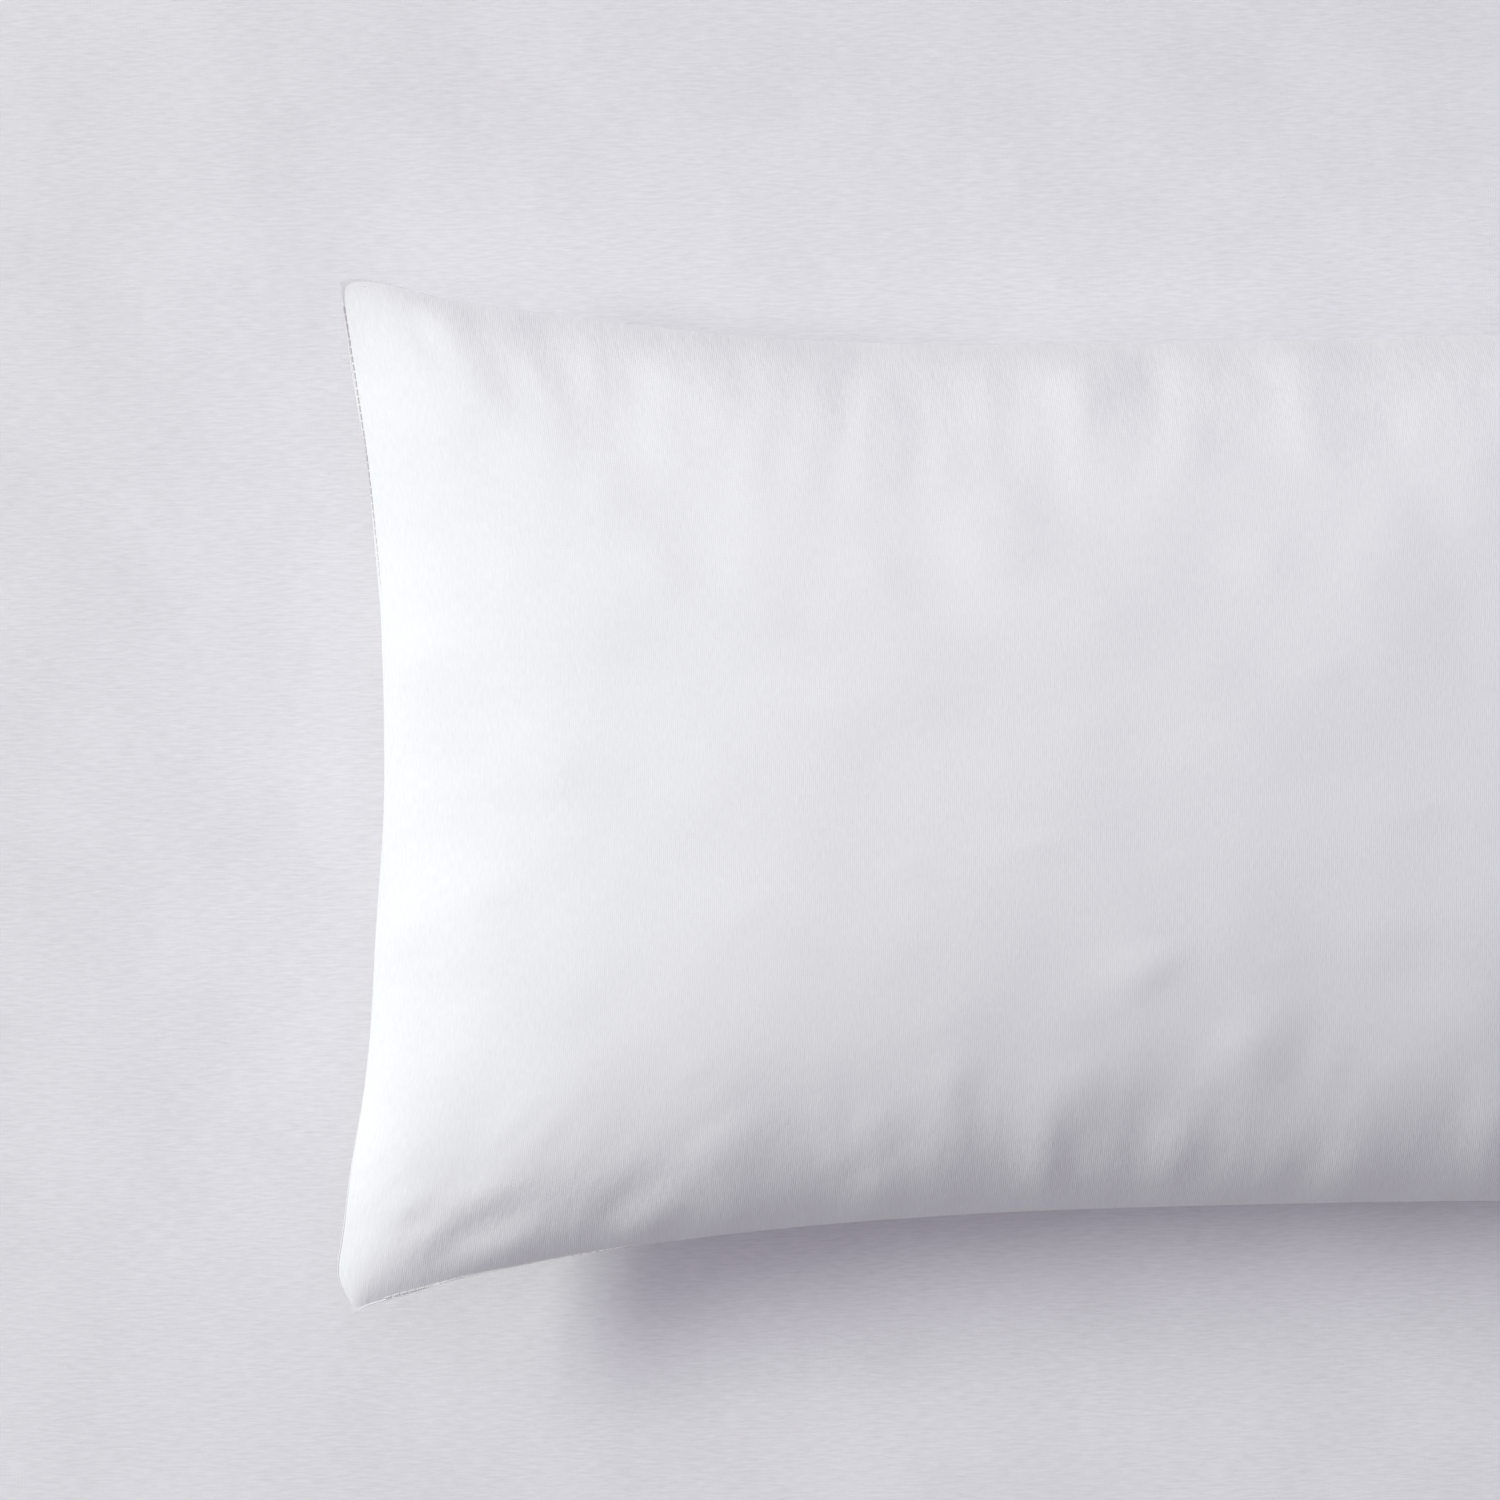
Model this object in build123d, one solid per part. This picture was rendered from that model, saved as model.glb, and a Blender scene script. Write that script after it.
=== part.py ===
from build123d import *
import os
from math import asin, atan, cos, degrees, sin, sqrt

os.makedirs("parts", exist_ok=True)

# A filled king-size bed pillow, lying flat. Millimetres, +X along its length, +Z up,
# origin under the middle of the pillow on the surface it rests on.

# ---- overall size of the filled pillow, corner tip to corner tip
length = 890.0
width = 500.0
loft = 170.0
seam_height = 79.0           # the seam rides at about half the loft, clear of the bed

# ---- outline: filling draws the middle of every edge inwards
side_draw_in = 41.0          # how far the middle of a long side comes in
side_draw_power = 2.8
end_draw_in = 21.0           # how far the middle of a short end comes in
end_draw_power = 1.9

# ---- crown: how full the pillow stays as it nears the seam
end_fullness = 2.5
side_fullness = 2.6
edge_share = 0.985           # below 1 leaves a knife edge at the seam, not a round one
crown_steps_long = 30
crown_steps_wide = 22

# ---- cotton shell
cloth = 0.6                  # thickness of one panel
wall_at_seam = 0.7           # width of a panel's wall where it meets the other panel
allowance = 10.0             # seam allowance turned to the inside
tip_trim = 5.0               # the corner tips are blunt by this much
tip_packing = 26.0           # folded allowance fills each corner tip up to this line

# ---- the hand-filled opening, closed last
opening = 250.0
lip = 4.0                    # turned-in edges stand out this far along the opening
lip_layers = 2

# ---- sewing
thread = 0.4
seam_pitch = 4.0
seam_stitch = 3.2
seam_line = 1.9              # stitch line, in from the edge of the shell
overlock_pitch = 4.0
overlock_bite = 4.6
overlock_overhang = 0.6      # the loops pass this far round the raw edges
corner_stop = 15.0           # stitch runs end this far from a corner
closing_pitch = 3.5
closing_stitch = 2.8
closing_line = 2.0           # out from the edge, in the middle of the lip

# ---- fibre fill
clearance = 0.1              # between the fill and what is round it
wrap = 25.0                  # thickness of the batting wrapped round the core
slot_margin = 0.3            # room left round the overlocked allowances

# ---- care label, a blank folded ribbon caught in the right-hand end seam
label_width = 24.0
label_drop = 32.0
label_cloth = 0.5
label_gap = 0.4
label_place = -185.0
label_tab_short = 2.0        # its tab ends this far short of the allowance's raw edge

half_length = length / 2
half_width = width / 2
crown = loft - seam_height
tall = 4 * loft


def rise(share, fullness):
    """Height left at a share of the way from the middle (0) to the seam (1)."""
    low = sqrt(1 - edge_share**fullness)
    return (sqrt(1 - (edge_share * abs(share)) ** fullness) - low) / (1 - low)


def spread(steps):
    """Shares from -1 to 1, closer together towards the seam."""
    turn = asin(edge_share)
    inner = [sin(turn * (2 * i / steps - 1)) / edge_share for i in range(1, steps)]
    return [-1.0] + inner + [1.0]


def side_line(x, inset):
    """Distance of a long side from the middle line, at x."""
    u = x / (half_length - inset)
    return half_width - inset - side_draw_in * (1 - abs(u) ** side_draw_power)


def end_line(y, inset):
    """Distance of a short end from the middle line, at y."""
    v = y / (half_width - inset)
    return half_length - inset - end_draw_in * (1 - abs(v) ** end_draw_power)


def crown_point(u, v, inset, thinner):
    """A point of a dome, drawn in by inset and lower by thinner."""
    x = u * (half_length - inset - end_draw_in * (1 - abs(v) ** end_draw_power))
    y = v * (half_width - inset - side_draw_in * (1 - abs(u) ** side_draw_power))
    z = (crown - thinner) * rise(u, end_fullness) * rise(v, side_fullness)
    return Vector(x, y, seam_height + z)


def dome(inset, thinner, pressed):
    """Half a filled pillow on the plane of the seam; a pressed half has its rest face on top."""
    across = spread(crown_steps_wide)
    rows = [
        [crown_point(u, v, inset, thinner) for v in across]
        for u in spread(crown_steps_long)
    ]
    skin = Face.make_surface_from_array_of_points(rows)
    base = Face(Wire(skin.edges()))
    half = Solid(Shell([skin, base]))
    if pressed:
        half = half & slab(0, 2 * seam_height - thinner)
    return half


def turned_over(piece):
    """The same piece on the other side of the seam."""
    return mirror(piece, about=Plane.XY.offset(seam_height))


def slab(low, high):
    """Everything between two heights."""
    middle = (low + high) / 2
    return Pos(0, 0, middle) * Box(2 * length, 2 * width, high - low)


def corner_prism(cut):
    """An upright block the size of the pillow, its corners cut off."""
    block = Box(length, width, tall)
    return chamfer(block.edges().filter_by(Axis.Z), cut)


def outline_block(inset, low, high):
    """The pillow's outline as an upright block between two heights."""
    xs = [u * (half_length - inset) for u in spread(crown_steps_long)]
    ys = [v * (half_width - inset) for v in spread(crown_steps_wide)]
    front = Spline([(x, -side_line(x, inset), low) for x in xs])
    back = Spline([(x, side_line(x, inset), low) for x in xs])
    left = Spline([(-end_line(y, inset), y, low) for y in ys])
    right = Spline([(end_line(y, inset), y, low) for y in ys])
    face = Face(Wire([front, back, left, right]))
    return extrude(face, high - low, dir=(0, 0, 1))


def panel(pressed):
    """One cotton panel with its turned-in seam allowance and its share of the closing lip."""
    low, high = seam_height, seam_height + cloth
    hem = slab(low - 1, high) - outline_block(allowance, low - 2, high + 1)
    hollow = (dome(wall_at_seam, cloth, pressed) & corner_prism(tip_packing)) - hem
    shell = (dome(0, 0, pressed) & corner_prism(tip_trim)) - hollow
    high = seam_height + lip_layers * cloth
    edge = outline_block(-lip, low, high) - outline_block(wall_at_seam, low - 1, high + 1)
    at_opening = Pos(half_length, 0, seam_height) * Box(half_length, opening, tall)
    return shell + (edge & at_opening)


def loop(long, tall_side):
    """One stitch: a square-cornered loop of thread, upright, standing along X."""
    return Box(long, thread, tall_side) - Box(long - 2 * thread, 2 * thread, tall_side - 2 * thread)


def stations(reach, pitch):
    """Evenly spaced places from -reach to reach."""
    count = int(2 * reach / pitch)
    return [pitch * (i - count / 2) for i in range(count + 1)]


def on_side(x, inset, back):
    """Place and heading on a long side's line: -1 for the front, 1 for the back."""
    step = 0.5
    rise_here = side_line(x + step, inset) - side_line(x - step, inset)
    turn = degrees(atan(back * rise_here / (2 * step)))
    return Location((x, back * side_line(x, inset), seam_height), (0, 0, turn))


def on_end(y, inset, right):
    """Place and heading on a short end's line: -1 for the left, 1 for the right."""
    step = 0.5
    rise_here = end_line(y + step, inset) - end_line(y - step, inset)
    turn = 90 - degrees(atan(right * rise_here / (2 * step)))
    return Location((right * end_line(y, inset), y, seam_height), (0, 0, turn))


def seam_places(edge, inset, pitch):
    """Where one edge's stitches sit; the right end leaves out the fill opening if asked."""
    if edge in ("front", "back"):
        sign = 1 if edge == "back" else -1
        reach = half_length - corner_stop
        return [on_side(x, inset, sign) for x in stations(reach, pitch)]
    sign = 1 if edge == "right" else -1
    reach = half_width - corner_stop
    return [on_end(y, inset, sign) for y in stations(reach, pitch)]


def seam_thread(edge):
    """The lockstitched seam of one edge, loops round both turned-in allowances."""
    stitch = loop(seam_stitch, 2 * (cloth + thread))
    places = seam_places(edge, seam_line, seam_pitch)
    if edge == "right":
        sewn_from = opening / 2 + seam_stitch / 2
        places = [place for place in places if abs(place.position.Y) > sewn_from]
    return Compound(children=[place * stitch for place in places])


def overlock_thread(edge):
    """The overlocked raw edges of one side, loops round both layers."""
    reach = overlock_bite + overlock_overhang
    stitch = Rot(0, 0, 90) * loop(reach, 2 * (cloth + thread))
    middle = allowance - overlock_bite / 2 + overlock_overhang / 2
    places = seam_places(edge, middle, overlock_pitch)
    return Compound(children=[place * stitch for place in places])


def staple(up):
    """Half a closing stitch: a bar lying on the lip and two legs into it."""
    leg = lip_layers * cloth - clearance / 2
    bar = Pos(0, 0, lip_layers * cloth + thread / 2) * Box(closing_stitch, thread, thread)
    legs = [
        Pos(end * (closing_stitch - thread) / 2, 0, clearance / 2 + leg / 2)
        * Box(thread, thread, leg)
        for end in (-1, 1)
    ]
    whole = bar + legs[0] + legs[1]
    return whole if up > 0 else Rot(180, 0, 0) * whole


def closing_thread(up):
    """The edge stitching that shuts the fill opening, seen on the lip."""
    reach = opening / 2 - closing_pitch
    places = [on_end(y, -closing_line, 1) for y in stations(reach, closing_pitch)]
    return Compound(children=[place * staple(up) for place in places])


def fill_slot():
    """Room for the allowances between the two halves of the wrap."""
    half = cloth + thread + slot_margin
    inner = allowance + overlock_overhang + slot_margin
    ring = slab(seam_height - half, seam_height + half)
    keep = outline_block(inner, seam_height - 2 * half, seam_height + 2 * half)
    thin = slab(seam_height - clearance / 2, seam_height + clearance / 2)
    return (ring - keep) + thin


def wrap_batt(pressed):
    """Half of the batting wrapped round the core."""
    gap = wall_at_seam + clearance
    top = cloth + clearance
    outside = dome(gap, top, pressed) & corner_prism(tip_packing + 2 * clearance)
    inside = dome(gap + wrap, top + wrap, pressed)
    return outside - inside - fill_slot()


def core():
    """The block of loose fibre in the middle."""
    gap = wall_at_seam + wrap + 2 * clearance
    top = cloth + wrap + 2 * clearance
    return dome(gap, top, False) + turned_over(dome(gap, top, True))


def care_label():
    """A folded blank ribbon: a tab held in the seam and two plies hanging outside."""
    near = label_place - label_width / 2
    edge = end_line(near, 0) + label_gap
    deep = 2 * label_cloth + label_gap
    block = Box(deep, label_width, label_drop)
    slit = Pos(0, 0, label_cloth) * Box(label_gap, 2 * label_width, label_drop)
    hang = Pos(edge + deep / 2, label_place, seam_height - label_drop / 2) * (block - slit)
    tab_from = end_line(label_place, 0) - (allowance - label_tab_short)
    tab_to = edge + deep
    tab = Pos((tab_from + tab_to) / 2, label_place, seam_height) * Box(
        tab_to - tab_from, label_width, label_cloth
    )
    return hang + tab


pieces = {
    "upper_panel": panel(False),
    "lower_panel": turned_over(panel(True)),
    "closing_seam_needle_thread": closing_thread(1),
    "closing_seam_bobbin_thread": closing_thread(-1),
    "care_label": care_label(),
    "fill_core": core(),
    "upper_wrap_batt": wrap_batt(False),
    "lower_wrap_batt": turned_over(wrap_batt(True)),
}
names = {"front": "front_side", "back": "back_side", "left": "left_end", "right": "right_end"}
for edge, name in names.items():
    pieces[name + "_seam_thread"] = seam_thread(edge)
    pieces[name + "_overlock_thread"] = overlock_thread(edge)

for name, piece in pieces.items():
    export_step(piece, f"parts/{name}.step")
    box = piece.bounding_box()
    print(name, len(piece.solids()), "solids", [round(v, 1) for v in (*box.min, *box.max)])
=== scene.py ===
# %% [markdown]
# # A filled bed pillow
# A bed pillow is two cut rectangles of white cotton, sewn face to face, turned right side out,
# stuffed with fibre and stitched shut at one end. The filling pulls the sides in between the four
# corners, rounds both faces up, and crimps the cloth beside the seam. The shell is made here the
# same way: two flat panels, joined at the rim and blown up with a cloth simulation. Everything is
# in metres and in the same place as the CAD pieces.

import math

import bmesh
import bpy
import numpy as np
from mathutils import Matrix, Vector, noise


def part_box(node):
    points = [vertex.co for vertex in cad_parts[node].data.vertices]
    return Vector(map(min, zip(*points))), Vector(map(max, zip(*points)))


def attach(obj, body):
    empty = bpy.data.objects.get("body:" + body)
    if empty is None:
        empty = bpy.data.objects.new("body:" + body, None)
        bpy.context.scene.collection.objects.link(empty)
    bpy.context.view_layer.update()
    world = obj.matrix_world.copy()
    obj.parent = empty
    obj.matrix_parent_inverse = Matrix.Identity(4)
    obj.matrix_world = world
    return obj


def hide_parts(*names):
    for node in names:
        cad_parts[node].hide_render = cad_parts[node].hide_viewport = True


MM = 0.001
HAIR = 1e-5        # places closer than this count as the same
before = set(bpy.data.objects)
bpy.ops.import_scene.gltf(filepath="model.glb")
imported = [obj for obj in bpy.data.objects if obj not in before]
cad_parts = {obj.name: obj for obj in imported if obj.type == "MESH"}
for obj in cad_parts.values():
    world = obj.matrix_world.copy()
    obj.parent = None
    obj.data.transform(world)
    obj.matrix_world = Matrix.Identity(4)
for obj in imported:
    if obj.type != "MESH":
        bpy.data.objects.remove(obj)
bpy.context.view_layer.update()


def piece_from(name, bm, material=None):
    """Ends a bmesh and gives back an object of it in the scene."""
    mesh = bpy.data.meshes.new(name)
    bm.to_mesh(mesh)
    bm.free()
    if material is not None:
        mesh.materials.append(material)
    piece = bpy.data.objects.new(name, mesh)
    bpy.context.scene.collection.objects.link(piece)
    return piece


# %% [markdown]
# ## Where the seam runs
# The seam is the line where both panels meet, at about half the pillow's height. Its place comes
# from the CAD panels. The draw-in values say how far the filling pulls the middle of each edge
# towards the centre, and the two powers say how soon the line leaves the corner: a long side
# runs flat for most of its length and turns out late, a short end is closer to an even curve.

# %% Seam line
seam_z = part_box("upper_panel")[0].z
corner_x, corner_y, crown_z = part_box("upper_panel")[1]
side_draw, side_power = 40 * MM, 2.8
end_draw, end_power = 21 * MM, 1.9
crown = crown_z - seam_z
press_depth = seam_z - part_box("lower_panel")[0].z


def seam_place(a, b):
    """Where a share a of the length and b of the width lies in plan, -1 to 1 each."""
    x = a * (corner_x - end_draw * (1 - abs(b) ** end_power))
    y = b * (corner_y - side_draw * (1 - abs(a) ** side_power))
    return x, y


print("seam at", round(seam_z, 4), "crown", round(crown, 4), "press", round(press_depth, 4))

# %% [markdown]
# ## How the corners end
# Turned out after sewing, a corner never comes to a clean point. Folded allowance packs the tip
# and leaves it blunt, each one in its own way, and the fill pushes the seam out a little more in
# one place than in the next. Each row below is one such push: the corner it is measured from, how
# far in from that corner, which way and how far the seam moves, and over what reach, all three in
# millimetres. One ear of this pillow is also pulled out longer than the others, so its end slants
# towards it.

# %% Blunt corners and uneven edges
seam_pushes = [
    ((-1, 1), (0, 0), (1.1, 0.0), 45),
    ((-1, 1), (0, 0), (0.4, -2.6), 7),
    ((-1, 1), (20, 0), (0.0, 2.7), 34),
    ((-1, 1), (110, 0), (0.0, 2.0), 130),
    ((-1, 1), (0, 95), (1.2, 0.0), 45),
    ((-1, -1), (0, 0), (9.5, 0.0), 17),
    ((-1, -1), (14, 0), (0.0, -3.6), 60),
    ((-1, -1), (0, 24), (-1.2, 0.0), 16),
    ((-1, -1), (0, 62), (-1.8, 0.0), 50),
    ((-1, -1), (0, 185), (-1.6, 0.0), 60),
    ((1, 1), (0, 0), (-3.0, 0.5), 12),
    ((1, 1), (0, 14), (1.0, 0.0), 14),
    ((1, 1), (90, 0), (0.0, 1.5), 90),
    ((1, -1), (0, 0), (-1.0, 2.0), 12),
    ((1, -1), (12, 0), (0.0, -1.2), 14),
    ((1, -1), (150, 0), (0.0, -1.8), 120),
]
ear_pull, ear_from = 13 * MM, 90 * MM     # at the front of the left end, from this far back


def near(distance, reach):
    """1 at no distance, falling smoothly to 0 at reach."""
    t = min(1.0, abs(distance) / reach)
    return (1 - t * t) ** 2


def uneven(x, y):
    """A plan point after the ear is pulled out and the seam pushed about."""
    along = max(0.0, -x / corner_x) ** 2
    slant = max(0.0, (ear_from - y) / (ear_from + corner_y))
    dx, dy = -ear_pull * along * slant, 0.0
    for (sx, sy), inward, push, reach in seam_pushes:
        from_x = x - sx * (corner_x - inward[0] * MM)
        from_y = y - sy * (corner_y - inward[1] * MM)
        weight = near(math.hypot(from_x, from_y), reach * MM)
        dx, dy = dx + weight * push[0] * MM, dy + weight * push[1] * MM
    return x + dx, y + dy


# %% [markdown]
# ## Two flat panels, sewn at the rim
# Each panel starts as a flat grid and is lifted into a low dome, so the simulation begins close
# to the answer. The two grids share their rim, which is the seam. The UV map holds every point's
# place on the flat cut cloth, in metres, so the weave later lies straight along the grain and
# bends with the cloth.

# %% Panel grids
cut_length, cut_width = 914 * MM, 508 * MM     # seam to seam, before filling
cells_long, cells_wide = 128, 72
start_share = 0.95                   # how much of the full height the cloth starts with
knife = 0.985                        # below 1 leaves a knife edge at the seam, not a round one
end_full, side_full = 2.5, 2.6       # how full the form stays as it nears the seam


def crown_share(share, fullness):
    """Height left at a share of the way to the seam, ending in a knife edge."""
    low = math.sqrt(1 - knife**fullness)
    return (math.sqrt(1 - (knife * abs(share)) ** fullness) - low) / (1 - low)


def ripple(x, y, seed):
    """Smooth small waves that give the cloth somewhere to start folding."""
    wide = noise.noise(Vector((x * 22, y * 22, seed)))
    fine = noise.noise(Vector((x * 50, y * 50, seed + 5)))
    return 2 * MM * (wide + 0.5 * fine)


def both_panels():
    """Both panels as one closed bmesh; the cloth's flat place is kept on every point."""
    bm = bmesh.new()
    flat = bm.verts.layers.float_vector.new("flat")
    uv = bm.loops.layers.uv.new("cloth")
    for up in (1, -1):
        grid = bmesh.ops.create_grid(bm, x_segments=cells_long, y_segments=cells_wide, size=1.0)
        faces = {face for vert in grid["verts"] for face in vert.link_faces}
        for vert in grid["verts"]:
            a, b = vert.co.x, vert.co.y
            vert[flat] = Vector((a * cut_length / 2, b * cut_width / 2, 0))
            x, y = uneven(*seam_place(a, b))
            inside = crown_share(min(1, abs(a)), end_full) * crown_share(min(1, abs(b)), side_full)
            lift = start_share * crown * inside
            if inside > 1e-4:
                lift += ripple(x, y, 1.3 + 3 * up)
            vert.co = (x, y, up * lift)
        for face in faces:
            face.material_index = 0 if up > 0 else 1
            for corner in face.loops:
                corner[uv].uv = corner.vert[flat].xy
        if up < 0:
            bmesh.ops.reverse_faces(bm, faces=list(faces))
    bmesh.ops.remove_doubles(bm, verts=bm.verts, dist=1e-6)
    return bm


shell = piece_from("shell", both_panels())
count = len(shell.data.vertices)
flat_at = np.zeros(count * 3, np.float32)
shell.data.attributes["flat"].data.foreach_get("vector", flat_at)
flat_at = flat_at.reshape(-1, 3)
on_rim = (np.abs(flat_at[:, 0]) > cut_length / 2 - HAIR) | (
    np.abs(flat_at[:, 1]) > cut_width / 2 - HAIR
)
is_upper = np.zeros(count, bool)
for face in shell.data.polygons:
    if face.material_index == 0:
        is_upper[list(face.vertices)] = True
print("shell points", count, "on the seam", int(on_rim.sum()))

# %% [markdown]
# ## Filling the shell
# Blender's Cloth remembers the flat cut as its rest shape, so the dome is a pulled-up sheet that
# wants its flat lengths back. Pressure stands for the packed fibre. The seam is pinned, and
# since it is shorter than the flat cut, the cloth beside it has too much length and crimps into
# short puckers, as a stuffed pillow does.

# %% Cloth simulation
last_frame = 26
fill_pressure = 30.0
most_move = 25 * MM        # no point may leave its starting dome by more


def fill_with_pressure(piece):
    """Runs the cloth and gives back every point's place."""
    rest = np.array([v.co for v in piece.data.vertices])
    piece.shape_key_add(name="Basis")
    cut = piece.shape_key_add(name="cut")
    cut.data.foreach_set("co", flat_at.ravel())
    cut.value = 0
    pins = piece.vertex_groups.new(name="seam")
    pins.add([int(i) for i in np.flatnonzero(on_rim)], 1.0, "REPLACE")
    cloth = piece.modifiers.new("cloth", "CLOTH")
    how = cloth.settings
    how.quality = 6
    how.mass = 0.1
    # close-woven cotton: it hardly stretches or shears, but bends with ease
    how.tension_stiffness = how.compression_stiffness = 60
    how.shear_stiffness = 30
    how.bending_stiffness = 0.1
    how.tension_damping = how.compression_damping = how.shear_damping = 5
    how.bending_damping = 0.5
    how.rest_shape_key = cut
    how.use_pressure = True
    how.uniform_pressure_force = fill_pressure
    how.vertex_group_mass = "seam"
    how.effector_weights.gravity = 0       # the bed's push is added afterwards
    cloth.collision_settings.use_collision = False
    cloth.collision_settings.use_self_collision = False
    cloth.point_cache.frame_start = 1
    cloth.point_cache.frame_end = last_frame
    for step in range(1, last_frame + 1):
        bpy.context.scene.frame_set(step)
    evaluated = piece.evaluated_get(bpy.context.evaluated_depsgraph_get())
    placed = np.array([v.co for v in evaluated.data.vertices])
    move = placed - rest
    far = np.linalg.norm(move, axis=1, keepdims=True)
    placed = rest + move * np.minimum(1, most_move / np.maximum(far, 1e-9))
    piece.modifiers.clear()
    piece.shape_key_clear()
    piece.vertex_groups.clear()
    bpy.context.scene.frame_set(1)
    return placed


placed = fill_with_pressure(shell)
print("filled", placed.min(0).round(4), placed.max(0).round(4))

# %% [markdown]
# ## Wrinkles, lumps and folds
# The fibre inside is never even, so the broad faces rise and dip by about a millimetre. Beside a
# long seam the puckers run in from the edge as soft ridges, two or three centimetres apart. A
# few longer folds leave the corners, where the cloth had to turn round the imported tip, and the
# seam is the knife edge that stands out furthest, so nothing bulges past it. All of this moves
# points by given rules and seeded noise, so it is the same every time.

# %% Shaping
lump_height = 1.0 * MM
ridge_height = 1.5 * MM
ridge_spacing = 21 * MM
ridge_lean = 0.14                         # how far a ridge may slant from square to the seam
end_share = 0.35                          # ridges at the short ends, against the long sides'
seam_waver = 0.7 * MM
calm_corner = 60 * MM                     # the seam wavers less, this near a corner
edge_lean, edge_soft = 0.22, 3 * MM       # sides slope in from the seam, above it and below it
onwards = (1.0, 2.0)                      # a fade further off than any point: the band never ends


def point_normals(mesh, places):
    """The outward direction at every point of a mesh with these places."""
    mesh.vertices.foreach_set("co", np.asarray(places, np.float32).ravel())
    mesh.update()
    out = np.zeros(len(mesh.vertices) * 3, np.float32)
    mesh.vertex_normals.foreach_get("vector", out)
    return out.reshape(-1, 3)


def band(distance, start, full, fade, end):
    """0 before start, 1 between full and fade, 0 after end."""
    up = min(1.0, max(0.0, (distance - start) / (full - start)))
    down = min(1.0, max(0.0, (end - distance) / (end - fade)))
    return (up * up * (3 - 2 * up)) * (down * down * (3 - 2 * down))


def ridges(x, into, seed):
    """Puckers that run in from a seam: they change fast along it and slowly away from it."""
    lean = ridge_lean * into * math.sin(9 * x + seed)
    along = (x + lean) / ridge_spacing
    wave = noise.noise(Vector((along, into / (120 * MM), seed)))
    wave += 0.5 * noise.noise(Vector((2.1 * along, into / (60 * MM), seed + 4)))
    strength = 0.55 + 0.9 * noise.noise(Vector((x * 5, seed, 2.2)))
    return max(0.1, strength) * wave


# each corner fold's start and end in plan, half width, depth, and face: 1 above, -1 below
corner_folds = [
    ((-0.384, 0.224), (-0.342, 0.176), 9 * MM, 1.1 * MM, 1),
    ((-0.352, 0.214), (-0.325, 0.186), 7 * MM, 0.7 * MM, 1),
    ((-0.412, 0.228), (-0.388, 0.204), 5 * MM, 0.8 * MM, 1),
    ((-0.310, 0.206), (-0.290, 0.182), 8 * MM, 0.8 * MM, 1),
    ((-0.424, -0.214), (-0.400, -0.200), 5 * MM, 1.6 * MM, 1),
    ((-0.410, -0.224), (-0.350, -0.196), 8 * MM, 1.8 * MM, 1),
    ((-0.330, -0.214), (-0.290, -0.180), 8 * MM, 1.2 * MM, 1),
    ((0.410, 0.222), (0.350, 0.172), 7 * MM, 2.0 * MM, 1),
    ((0.400, -0.222), (0.345, -0.180), 8 * MM, 1.8 * MM, 1),
    ((-0.405, 0.222), (-0.350, 0.172), 7 * MM, 1.8 * MM, -1),
    ((-0.400, -0.222), (-0.345, -0.180), 8 * MM, 1.8 * MM, -1),
    ((0.405, 0.222), (0.350, 0.172), 7 * MM, 1.8 * MM, -1),
    ((0.400, -0.222), (0.345, -0.180), 8 * MM, 1.8 * MM, -1),
]


def folds(x, y, up):
    """How far the long soft creases move a point: down in the crease, up beside it."""
    total = 0.0
    for (x0, y0), (x1, y1), half_width, depth, face in corner_folds:
        if face != up:
            continue
        long = math.hypot(x1 - x0, y1 - y0)
        ux, uy = (x1 - x0) / long, (y1 - y0) / long
        along = ((x - x0) * ux + (y - y0) * uy) / long
        off = ((y - y0) * ux - (x - x0) * uy) / half_width
        if -0.1 < along < 1.1 and abs(off) < 3:
            taper = math.sin(math.pi * min(1, max(0, (along + 0.1) / 1.2))) ** 1.5
            crease = math.exp(-off * off) - 0.5 * math.exp(-((abs(off) - 1.8) ** 2))
            total -= depth * taper * crease
    return total


def behind_seam(axis, sign):
    """Draws every point that bulges past one edge of the seam back behind it."""
    half = (cut_length, cut_width)[axis] / 2
    on_edge = sign * flat_at[:, axis] > half - HAIR
    order = np.argsort(placed[on_edge, 1 - axis])
    run, reach = (placed[on_edge, k][order] for k in (1 - axis, axis))
    limit = sign * np.interp(placed[:, 1 - axis], run, reach) - edge_lean * np.abs(placed[:, 2])
    past = sign * placed[:, axis] - limit
    back = 0.5 * (past + np.sqrt(past**2 + edge_soft**2))
    placed[~on_rim, axis] -= (sign * back)[~on_rim]


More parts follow.
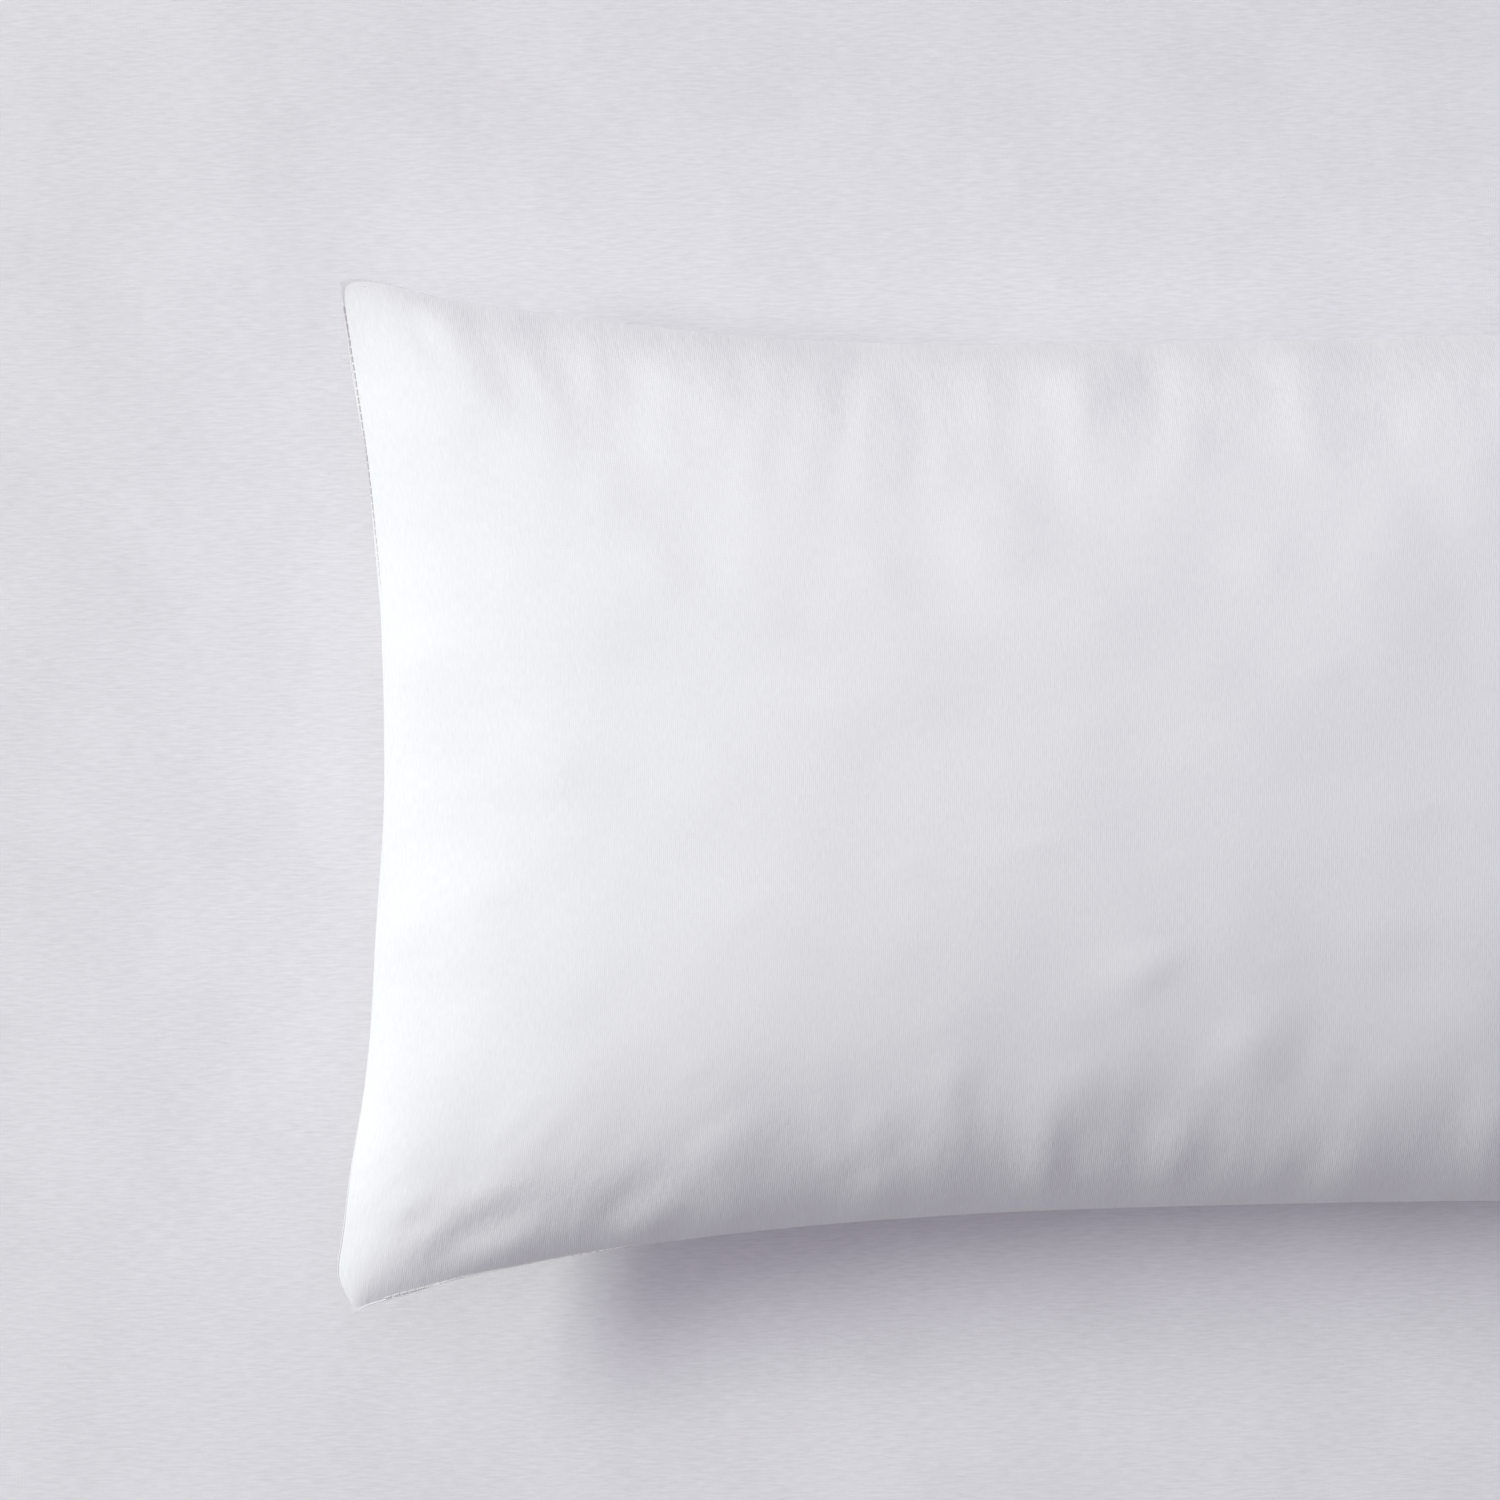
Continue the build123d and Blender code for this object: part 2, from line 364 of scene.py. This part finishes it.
for axis, sign in ((0, 1), (0, -1), (1, 1), (1, -1)):
    behind_seam(axis, sign)
outward = point_normals(shell.data, placed)
for i in range(count):
    x, y, z = placed[i]
    up = 1 if is_upper[i] else -1
    fx, fy = flat_at[i, 0], flat_at[i, 1]
    from_side = cut_width / 2 - abs(fy)
    from_end = cut_length / 2 - abs(fx)
    if on_rim[i]:
        run, from_corner = (fx, from_end) if from_side < HAIR else (fy, from_side)
        calm = min(1.0, from_corner / calm_corner)
        placed[i, 2] += seam_waver * calm * noise.noise(Vector((run * 30, 0.4, x * 3)))
        continue
    side = 1 if fy > 0 else -1
    lumps = noise.noise(Vector((x * 11, y * 11, 4.2 * up)))
    lumps += 0.5 * noise.noise(Vector((x * 24, y * 24, 8.1 * up)))
    move = lump_height * lumps * band(min(from_side, from_end), 10 * MM, 60 * MM, *onwards)
    beside_seam = band(from_side, 3 * MM, 26 * MM, 60 * MM, 120 * MM)
    envelope = beside_seam * band(from_end, 20 * MM, 110 * MM, *onwards)
    move += ridge_height * envelope * ridges(fx, from_side, 3.1 * side + 7 * up)
    beside_seam = band(from_end, 3 * MM, 22 * MM, 40 * MM, 80 * MM)
    envelope = beside_seam * band(from_side, 20 * MM, 80 * MM, *onwards)
    move += end_share * ridge_height * envelope * ridges(fy, from_end, 11 + 2 * up)
    move += folds(x, y, up)
    placed[i] += outward[i] * move

# %% [markdown]
# ## Lying on the bed
# The pillow's own weight flattens the underside where it rests. Points that would pass through
# the bed are eased up to it, with a soft start so that no hard ring shows. The result is then
# lifted so that the seam sits at the height the CAD gives.

# %% Rest face
ease = 5 * MM


def pressed(depth):
    """Depth under the seam after the bed has pushed back."""
    if depth < press_depth - 2 * ease:
        return depth
    gap = (press_depth - depth) / ease
    return press_depth - ease * math.log1p(math.exp(gap))


floor_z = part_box("lower_panel")[0].z
for i in range(count):
    if not is_upper[i]:
        placed[i, 2] = -pressed(-placed[i, 2])
placed[:, 2] *= np.where(placed[:, 2] > 0, crown / max(placed[:, 2].max(), 1e-6), 1.0)
placed[:, 2] += seam_z
placed[:, 2] = np.maximum(placed[:, 2], floor_z)
shell.data.vertices.foreach_set("co", placed.astype(np.float32).ravel())
shell.data.update()
print("laid down", placed.min(0).round(4), placed.max(0).round(4))

# %% [markdown]
# ## Colours
# Screen colours are written as hex and turned to the linear values the shaders work in by one
# small function. Another adds a shader node, sets its values and joins its inputs. The rest are
# the steps that every finish here shares: a weighted sum, a colour ramp and a bump.


# %% Colour and node helpers
def linear(hex_colour):
    """A #rrggbb screen colour as linear RGBA."""
    parts = [int(hex_colour[i : i + 2], 16) / 255 for i in (1, 3, 5)]
    return [p / 12.92 if p <= 0.04045 else ((p + 0.055) / 1.055) ** 2.4 for p in parts] + [1.0]


def add_node(tree, kind, inputs=None, **settings):
    """A shader node with its settings made and its inputs set or joined."""
    made = tree.nodes.new(kind)
    for key, value in settings.items():
        setattr(made, key, value)
    for key, value in (inputs or {}).items():
        if isinstance(value, bpy.types.NodeSocket):
            tree.links.new(value, made.inputs[key])
        else:
            made.inputs[key].default_value = value
    return made


def surface(name, rough, sheen):
    """A new material, its node tree and its shader."""
    finish = bpy.data.materials.new(name)
    finish.use_nodes = True
    shader = finish.node_tree.nodes["Principled BSDF"]
    shader.inputs["Roughness"].default_value = rough
    shader.inputs["Sheen Weight"].default_value = sheen
    return finish, finish.node_tree, shader


def weighted(tree, value, weight, base=0.0):
    """A socket that gives value times weight plus base."""
    made = add_node(tree, "ShaderNodeMath", {0: value, 1: weight, 2: base},
                    operation="MULTIPLY_ADD")
    return made.outputs["Value"]


def coloured(tree, shader, tone, shade, light, low=0.0, high=1.0):
    """Colours a shader, from shade where the tone is low to light where it is high."""
    ramp = add_node(tree, "ShaderNodeValToRGB", {"Fac": tone})
    for stop, place, colour in zip(ramp.color_ramp.elements, (low, high), (shade, light)):
        stop.position = place
        stop.color = linear(colour)
    tree.links.new(ramp.outputs["Color"], shader.inputs["Base Color"])


def raised(tree, shader, height, strength, relief):
    """Gives a shader a bump from a height pattern, relief metres deep."""
    bump = add_node(tree, "ShaderNodeBump",
                    {"Height": height, "Strength": strength, "Distance": relief})
    tree.links.new(bump.outputs["Normal"], shader.inputs["Normal"])


def wave_scale(pitch):
    """The Wave Texture's scale for bands this far apart."""
    return 2 * math.pi / (20 * pitch)


# %% [markdown]
# ## Woven cotton
# The shell is plain white cotton with a fine rib across the pillow's width, thicker slubs along
# the same threads and a hazy surface. The eye reads the ribs and slubs as a faint vertical grain
# in raking light. The real threads are about a third of a millimetre apart, too fine to draw, so
# the rib stands at 1 mm and the cross threads at 0.8 mm. The pattern reads the cut cloth's own
# UV map, in metres.


# %% Cotton finish
crimp_from, crimp_full = 150 * MM, 225 * MM    # across the panel, from its middle line
crimp_size = (7 * MM, 12 * MM)


def crimped(tree, place, height, amount):
    """A height pattern with the small cockles that a gathered seam gives the cloth beside it."""
    across = add_node(tree, "ShaderNodeSeparateXYZ", {0: place}).outputs["Y"]
    off = add_node(tree, "ShaderNodeMath", {0: across}, operation="ABSOLUTE")
    beside = add_node(tree, "ShaderNodeMapRange",
                      {"Value": off.outputs["Value"], "From Min": crimp_from,
                       "From Max": crimp_full}, interpolation_type="SMOOTHSTEP")
    size = add_node(tree, "ShaderNodeMapping",
                    {"Vector": place, "Scale": (1 / crimp_size[0], 1 / crimp_size[1], 1.0)})
    cockles = add_node(tree, "ShaderNodeTexNoise",
                       {"Vector": size.outputs["Vector"], "Scale": 1.0, "Detail": 5.0,
                        "Roughness": 0.6})
    held = add_node(tree, "ShaderNodeMath",
                    {0: cockles.outputs["Fac"], 1: beside.outputs["Result"]},
                    operation="MULTIPLY")
    return weighted(tree, held.outputs["Value"], amount, height)


def woven(name, light, shade, coordinates, rib, cross, slub_size, relief, rough, sheen, crimp=0.0):
    """Plain weave: ribs one way, finer threads the other, slubs along the ribs, crimped edges."""
    finish, tree, shader = surface(name, rough, sheen)
    if coordinates == "UV":
        place = add_node(tree, "ShaderNodeUVMap", uv_map="cloth").outputs["UV"]
    else:
        place = add_node(tree, "ShaderNodeTexCoord").outputs["Object"]
    ribs = add_node(tree, "ShaderNodeTexWave",
                    {"Vector": place, "Scale": wave_scale(rib), "Distortion": 2.5,
                     "Detail": 2.0, "Detail Scale": 0.6}, bands_direction="X")
    threads = add_node(tree, "ShaderNodeTexWave",
                       {"Vector": place, "Scale": wave_scale(cross), "Distortion": 2.0,
                        "Detail": 1.0}, bands_direction="Y")
    stretch = add_node(tree, "ShaderNodeMapping",
                       {"Vector": place, "Scale": (1 / slub_size[0], 1 / slub_size[1], 1.0)})
    slubs = add_node(tree, "ShaderNodeTexNoise",
                     {"Vector": stretch.outputs["Vector"], "Scale": 1.0, "Detail": 4.0,
                      "Roughness": 0.62}).outputs["Fac"]
    cloudy = add_node(tree, "ShaderNodeTexNoise",
                      {"Vector": place, "Scale": 16.0, "Detail": 2.0}).outputs["Fac"]
    tone = weighted(tree, cloudy, 0.28, weighted(tree, slubs, 0.72))
    coloured(tree, shader, tone, shade, light, low=0.3, high=0.62)
    height = weighted(tree, threads.outputs["Fac"], 0.25,
                      weighted(tree, ribs.outputs["Fac"], 0.4, slubs))
    if crimp:
        height = crimped(tree, place, height, crimp)
    raised(tree, shader, height, strength=0.6, relief=relief)
    shader.inputs["Specular IOR Level"].default_value = 0.2
    shader.inputs["Sheen Roughness"].default_value = 0.5
    return finish


# white cotton ticking: reads as bright, dry and very slightly fuzzy
ticking = woven("white_cotton_ticking", "#f7f6f9", "#efeef2", "UV", rib=1.0 * MM,
                cross=0.8 * MM, slub_size=(1.1 * MM, 6 * MM), relief=0.14 * MM,
                rough=0.88, sheen=0.15, crimp=4.0)
print("cotton", ticking.name)

# %% [markdown]
# ## The two panels
# The shell is split at the seam into its upper and lower panel, each a sheet of cotton. One
# level of subdivision smooths the simulated grid, and Solidify gives the cloth its thickness on
# the inside, so the outer face stays where it was. On the end with the fill opening, the rim is
# pulled out into a narrow flat lip: the turned-in edges that the last seam closes.

# %% Panels
cloth_thick = 0.6 * MM
opening_half = 125 * MM
lip_out, lip_lift = 4 * MM, 1.0 * MM
lip_turn, lip_end = 0.6 * MM, 0.3 * MM


def lip_on(bm, up):
    """Pulls the rim beside the fill opening out into a flat lip with a turned edge."""
    def at_opening(vert):
        return vert.is_boundary and vert.co.x > 0 and abs(vert.co.y) < opening_half

    edges = [e for e in bm.edges if e.is_boundary and all(at_opening(v) for v in e.verts)]
    steps = (
        (lip_turn, 0.8 * lip_lift),
        (lip_out - lip_turn, 0.2 * lip_lift),
        (lip_end, -0.8 * lip_lift),
    )
    for out, lift in steps:
        made = bmesh.ops.extrude_edge_only(bm, edges=edges)
        verts = [g for g in made["geom"] if isinstance(g, bmesh.types.BMVert)]
        edges = [g for g in made["geom"] if isinstance(g, bmesh.types.BMEdge)]
        bmesh.ops.translate(bm, verts=verts, vec=(out, 0, up * lift))


def panel(name, keep, up):
    """One panel cut from the shell and given its thickness; its cut edge is shaded sharp."""
    bm = bmesh.new()
    bm.from_mesh(shell.data)
    bmesh.ops.delete(bm, geom=[f for f in bm.faces if f.material_index != keep], context="FACES")
    lip_on(bm, up)
    for face in bm.faces:
        face.material_index = 0
        face.smooth = True
    for edge in bm.edges:
        edge.smooth = not edge.is_boundary
    bmesh.ops.recalc_face_normals(bm, faces=bm.faces)
    middle = max(bm.faces, key=lambda f: up * f.calc_center_median().z)
    if middle.normal.z * up < 0:
        bmesh.ops.reverse_faces(bm, faces=bm.faces)
    piece = piece_from(name, bm, ticking)
    smooth = piece.modifiers.new("smooth", "SUBSURF")
    smooth.levels = smooth.render_levels = 1
    smooth.boundary_smooth = "PRESERVE_CORNERS"
    thick = piece.modifiers.new("cloth thickness", "SOLIDIFY")
    thick.thickness = cloth_thick
    thick.offset = -1
    return piece


upper_cloth = panel("upper_panel_cloth", 0, 1)
lower_cloth = panel("lower_panel_cloth", 1, -1)
for piece, node in ((upper_cloth, "upper_panel"), (lower_cloth, "lower_panel")):
    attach(piece, "root")
    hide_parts(node)
    print(piece.name, len(piece.data.polygons), "faces before smoothing")

# %% [markdown]
# ## Fibre fill
# Inside, a core of loose fibre is wrapped in batting. Each is the shell's own form drawn in, with
# its halves closed up: the wrap's two halves meet beside the seam allowances and the core fills
# what is left. They never show on a whole pillow, and they carry a soft matted finish for anyone
# who takes it apart.


# %% Fibre finish and pieces
def matted(name, light, shade, size):
    """Loose white fibre: matted clumps with hair-fine strands, dull and soft."""
    finish, tree, shader = surface(name, rough=0.95, sheen=0.4)
    place = add_node(tree, "ShaderNodeTexCoord").outputs["Object"]
    clumps = add_node(tree, "ShaderNodeTexNoise",
                      {"Vector": place, "Scale": 1 / size, "Detail": 6.0, "Distortion": 1.2})
    strands = add_node(tree, "ShaderNodeTexWave",
                       {"Vector": place, "Scale": wave_scale(size / 6), "Distortion": 14.0,
                        "Detail": 3.0})
    mix = weighted(tree, strands.outputs["Fac"], 0.4, clumps.outputs["Fac"])
    coloured(tree, shader, mix, shade, light, low=0.35, high=0.9)
    raised(tree, shader, mix, strength=0.8, relief=size / 6)
    return finish


core_fibre = matted("loose_polyester_fibre", "#f6f6f4", "#e2e2df", size=9 * MM)
batting_fibre = matted("polyester_batting", "#f7f7f5", "#e8e8e5", size=5 * MM)
wrap_thick = 25 * MM
seam_gap = 1.2 * MM
wrap_inset, wrap_lower = 13 * MM, 4 * MM
core_inset, core_lower = wrap_inset + wrap_thick + 3 * MM, wrap_lower + wrap_thick + 2 * MM
corner_pull = 16 * MM
centre = Vector((0, 0, seam_z))


def drawn_in(verts, inset, lower):
    """Shrinks the filled form: inset from the seam in plan, lower in height, corners most."""
    for vert in verts:
        from_middle = vert.co - centre
        depth = press_depth if from_middle.z < 0 else crown
        corner = abs(from_middle.x * from_middle.y) / (corner_x * corner_y)
        pull = inset + corner_pull * corner**5
        vert.co = centre + Vector((
            from_middle.x * (corner_x - pull) / corner_x,
            from_middle.y * (corner_y - pull) / corner_y,
            from_middle.z * (depth - lower) / depth,
        ))


def half_shell(bm, keep):
    """Adds one half of the filled form to a bmesh and gives back its points."""
    verts_before, faces_before = set(bm.verts), set(bm.faces)
    bm.from_mesh(shell.data)
    added = [v for v in bm.verts if v not in verts_before]
    gone = [f for f in bm.faces if f not in faces_before and f.material_index != keep]
    bmesh.ops.delete(bm, geom=gone, context="FACES")
    return [v for v in added if v.is_valid]


def finish_fill(name, bm, material):
    """A closed fill piece from its bmesh."""
    bmesh.ops.recalc_face_normals(bm, faces=bm.faces)
    for face in bm.faces:
        face.material_index = 0
        face.smooth = True
    return piece_from(name, bm, material)


def wrap_half(name, keep, up):
    """Half of the batting: an outer and an inner skin joined round the seam."""
    bm = bmesh.new()
    drawn_in(half_shell(bm, keep), wrap_inset, wrap_lower)
    drawn_in(half_shell(bm, keep), wrap_inset + wrap_thick, wrap_lower + wrap_thick)
    for vert in bm.verts:
        vert.co.z = seam_z + up * max(seam_gap, up * (vert.co.z - seam_z) + seam_gap * 0.2)
    bmesh.ops.bridge_loops(bm, edges=[e for e in bm.edges if e.is_boundary])
    return finish_fill(name, bm, batting_fibre)


def core_piece(name):
    """The loose core, both halves of the form drawn in past the batting."""
    bm = bmesh.new()
    bm.from_mesh(shell.data)
    drawn_in(bm.verts, core_inset, core_lower)
    return finish_fill(name, bm, core_fibre)


fill = [
    (core_piece("fibre_core"), "fill_core", "fibre_fill"),
    (wrap_half("upper_batting", 0, 1), "upper_wrap_batt", "wrap_batting"),
    (wrap_half("lower_batting", 1, -1), "lower_wrap_batt", "wrap_batting"),
]
for piece, node, slot in fill:
    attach(piece, "root")
    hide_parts(node)
    print(piece.name, len(piece.data.polygons), "faces")

# %% [markdown]
# ## Sewing thread
# The seams and overlocking are inside, so the CAD's stitches stay as they are and get a thread
# finish: a tight twist with painted highlight in slanting bands on the plies and painted shade in
# the grooves between them. Only the closing seam shows. Its stitches lie on the lip one after
# another, each a short plump length of thread with its ends pulled down into the cloth.


# %% Thread finish and closing stitches
def twisted(name, light, shade, pitch):
    """Spun cotton thread: slanted plies, painted light on top, painted shade in the grooves."""
    finish, tree, shader = surface(name, rough=0.7, sheen=0.2)
    place = add_node(tree, "ShaderNodeTexCoord").outputs["Object"]
    slant = add_node(tree, "ShaderNodeMapping", {"Vector": place, "Rotation": (0.3, 0.4, 0.7)})
    plies = add_node(tree, "ShaderNodeTexWave",
                     {"Vector": slant.outputs["Vector"], "Scale": wave_scale(pitch),
                      "Distortion": 1.0}).outputs["Fac"]
    # the ply wave paints shade into the grooves and highlight onto the ply tops
    coloured(tree, shader, plies, shade, light)
    raised(tree, shader, plies, strength=0.7, relief=0.08 * MM)
    return finish


# the shade colour is painted shade in the grooves between plies, the light colour painted
# highlight on their tops
thread_finish = twisted("white_sewing_thread", "#f4f3f2", "#cfcdcc", pitch=0.5 * MM)
for name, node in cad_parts.items():
    if name.endswith(("seam_thread", "overlock_thread")):
        node.data.materials.clear()
        node.data.materials.append(thread_finish)
stitch_pitch, stitch_long, stitch_thick = 3.5 * MM, 3.0 * MM, 0.55 * MM


def closing_stitches(name, up):
    """A row of stitches along the middle of the lip, above or below it."""
    bm = bmesh.new()
    first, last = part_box("closing_seam_needle_thread")
    run = int((last.y - first.y) / stitch_pitch)
    for i in range(run + 1):
        y = (i - run / 2) * stitch_pitch
        x = lip_middle(y)
        slope = (lip_middle(y + MM) - lip_middle(y - MM)) / (2 * MM)
        made = bmesh.ops.create_uvsphere(bm, u_segments=8, v_segments=6, radius=0.5)
        turn = Matrix.Rotation(math.pi / 2 - math.atan(slope), 4, "Z")
        size = Matrix.Diagonal((stitch_long, stitch_thick, stitch_thick, 1))
        place = Matrix.Translation((x, y, lip_height(y) + up * (lip_lift + 0.1 * MM)))
        bmesh.ops.transform(bm, matrix=place @ turn @ size, verts=made["verts"])
    for face in bm.faces:
        face.smooth = True
    return piece_from(name, bm, thread_finish)


end_rim = sorted(
    (float(placed[i, 1]), float(placed[i, 0]), float(placed[i, 2]))
    for i in np.flatnonzero(on_rim)
    if flat_at[i, 0] > cut_length / 2 - HAIR
)
rim_y, rim_x, rim_z = (np.array(column) for column in zip(*end_rim))


def lip_middle(y):
    """How far out the stitch line lies at y."""
    return float(np.interp(y, rim_y, rim_x)) + 0.6 * lip_out


def lip_height(y):
    """How high the seam lies at y."""
    return float(np.interp(y, rim_y, rim_z))


closing = [
    (closing_stitches("closing_stitches_top", 1), "closing_seam_needle_thread"),
    (closing_stitches("closing_stitches_under", -1), "closing_seam_bobbin_thread"),
]
for piece, node in closing:
    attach(piece, "root")
    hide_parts(node)
    print(piece.name, len(piece.data.polygons), "faces")

# %% [markdown]
# ## Care label
# A short satin ribbon, folded in two, is caught in the seam near a corner and hangs below it. It
# is left blank. It starts as one flat strip, is bent over at the fold and curls a little, as a
# ribbon does that has been washed.

# %% Label
label_low, label_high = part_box("care_label")
label_wide = label_high.y - label_low.y
label_drop = seam_z - label_low.z
ply_gap, ribbon_thick = 0.9 * MM, 0.15 * MM
tab_in = 7 * MM
ribbon_long = 2 * (label_drop + tab_in)


def ribbon_point(share):
    """Place across the seam and height along the folded ribbon, from tab to tab."""
    run = share * ribbon_long
    outer = run > ribbon_long / 2
    if outer:
        run = ribbon_long - run
    if run < tab_in:
        return run - tab_in, (0.15 if outer else -0.15) * MM
    down = run - tab_in
    curl = 1.8 * MM * (down / label_drop) ** 2
    spread = ply_gap * math.sin(math.pi * min(1, down / label_drop)) ** 0.5
    return 0.8 * MM + curl + (spread if outer else 0), -down


def label_piece():
    """The folded ribbon as one strip with thickness."""
    bm = bmesh.new()
    uv = bm.loops.layers.uv.new("cloth")
    grid = bmesh.ops.create_grid(bm, x_segments=48, y_segments=8, size=0.5)
    edge = float(np.interp(label_low.y + label_wide / 2, rim_y, rim_x))
    for face in bm.faces:
        face.smooth = True
        for corner in face.loops:
            corner[uv].uv = (corner.vert.co.y * label_wide, corner.vert.co.x * ribbon_long)
    for vert in grid["verts"]:
        across = vert.co.y
        out, down = ribbon_point(vert.co.x + 0.5)
        y = label_low.y + label_wide * (across + 0.5)
        wave = 0.5 * MM * math.sin(across * 5 + down * 90) * min(1, abs(down) / (10 * MM))
        vert.co = (edge + out + wave, y, seam_z + down)
    bmesh.ops.recalc_face_normals(bm, faces=bm.faces)
    piece = piece_from("blank_care_label", bm, ribbon)
    thick = piece.modifiers.new("ribbon thickness", "SOLIDIFY")
    thick.thickness = ribbon_thick
    thick.offset = 0
    return piece


# white satin ribbon: reads as smoother than the cotton, with a low shine along its length
ribbon = woven("white_satin_ribbon", "#f5f4f1", "#e9e8e4", "UV", rib=0.5 * MM,
               cross=0.7 * MM, slub_size=(0.6 * MM, 6 * MM), relief=0.05 * MM,
               rough=0.45, sheen=0.1)
label = label_piece()
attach(label, "root")
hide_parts("care_label")
print("label", round(label_wide, 4), "wide", round(label_drop, 4), "drop")
bpy.data.objects.remove(shell)

# %% [markdown]
# ## The bed, the light and the camera
# The pillow lies on a pale cotton cover whose thread runs along the pillow. A wide, low window
# past the left end, a little behind the pillow, gives the light its direction. The room adds a
# soft glow from overhead that fades towards the horizon, so the slope of the near long side and
# the cover beside it stay in soft shade. The camera looks straight down.

# %% Bed cover
# pale grey cotton cover: reads as flat and dry, with short threads showing along the weave
cover = woven("pale_cotton_cover", "#f3f1f5", "#e5e3e7", "Object", rib=0.9 * MM,
              cross=1.1 * MM, slub_size=(9 * MM, 1.2 * MM), relief=0.14 * MM,
              rough=0.92, sheen=0.05)
bm = bmesh.new()
bmesh.ops.create_grid(bm, x_segments=1, y_segments=1, size=12.0)
floor = piece_from("bed_cover", bm, cover)

# %% Light
sky = bpy.data.worlds.new("soft_room")
bpy.context.scene.world = sky
sky.use_nodes = True
background = sky.node_tree.nodes["Background"]
background.inputs["Color"].default_value = (0.985, 0.94, 1.06, 1)
# the glow is brightest towards fill_from and drops off with the angle from it
fill_from = Vector((-0.15, 0.25, 0.95))
fill_level, fill_lean, fill_focus = 0.04, 1.13, 3.0      # everywhere, added at best, sharpness
outlook = add_node(sky.node_tree, "ShaderNodeTexCoord").outputs["Generated"]
facing = add_node(sky.node_tree, "ShaderNodeVectorMath", {0: outlook, 1: fill_from},
                  operation="DOT_PRODUCT")
above = add_node(sky.node_tree, "ShaderNodeMath", {0: facing.outputs["Value"], 1: 0.0},
                 operation="MAXIMUM")
lobe = add_node(sky.node_tree, "ShaderNodeMath", {0: above.outputs["Value"], 1: fill_focus},
                operation="POWER")
level = weighted(sky.node_tree, lobe.outputs["Value"], fill_lean, fill_level)
sky.node_tree.links.new(level, background.inputs["Strength"])
key = bpy.data.lights.new("window", "AREA")
key.shape = "RECTANGLE"
key.size, key.size_y = 4.0, 1.2
key.energy = 330.0
key.color = (0.93, 1.0, 0.90)
window = bpy.data.objects.new("window", key)
bpy.context.scene.collection.objects.link(window)
aim = Vector((-0.15, 0, seam_z))
azimuth, elevation, away = math.radians(161), math.radians(31), 7.0
window.location = aim + away * Vector((
    math.cos(elevation) * math.cos(azimuth),
    math.cos(elevation) * math.sin(azimuth),
    math.sin(elevation),
))
window.rotation_euler = (aim - window.location).to_track_quat("-Z", "Y").to_euler()

# %% Camera
eye = bpy.data.cameras.new("camera")
camera = bpy.data.objects.new("camera", eye)
bpy.context.scene.collection.objects.link(camera)
over_x, over_y, camera_height = -0.2487, 0.0165, 2.2
seen_wide = 0.727                    # how much of the seam's level fits across the view
twist = math.radians(-1.24)
camera.location = (over_x, over_y, camera_height)
camera.rotation_euler = (0, 0, twist)
eye.angle = 2 * math.atan(seen_wide / 2 / (camera_height - seam_z))
bpy.context.scene.camera = camera
bpy.context.scene.view_settings.view_transform = "Standard"

# %% [markdown]
# ## Last update
# The view layer is updated once more, so every piece stands where it was put.

# %% Finish
bpy.context.view_layer.update()
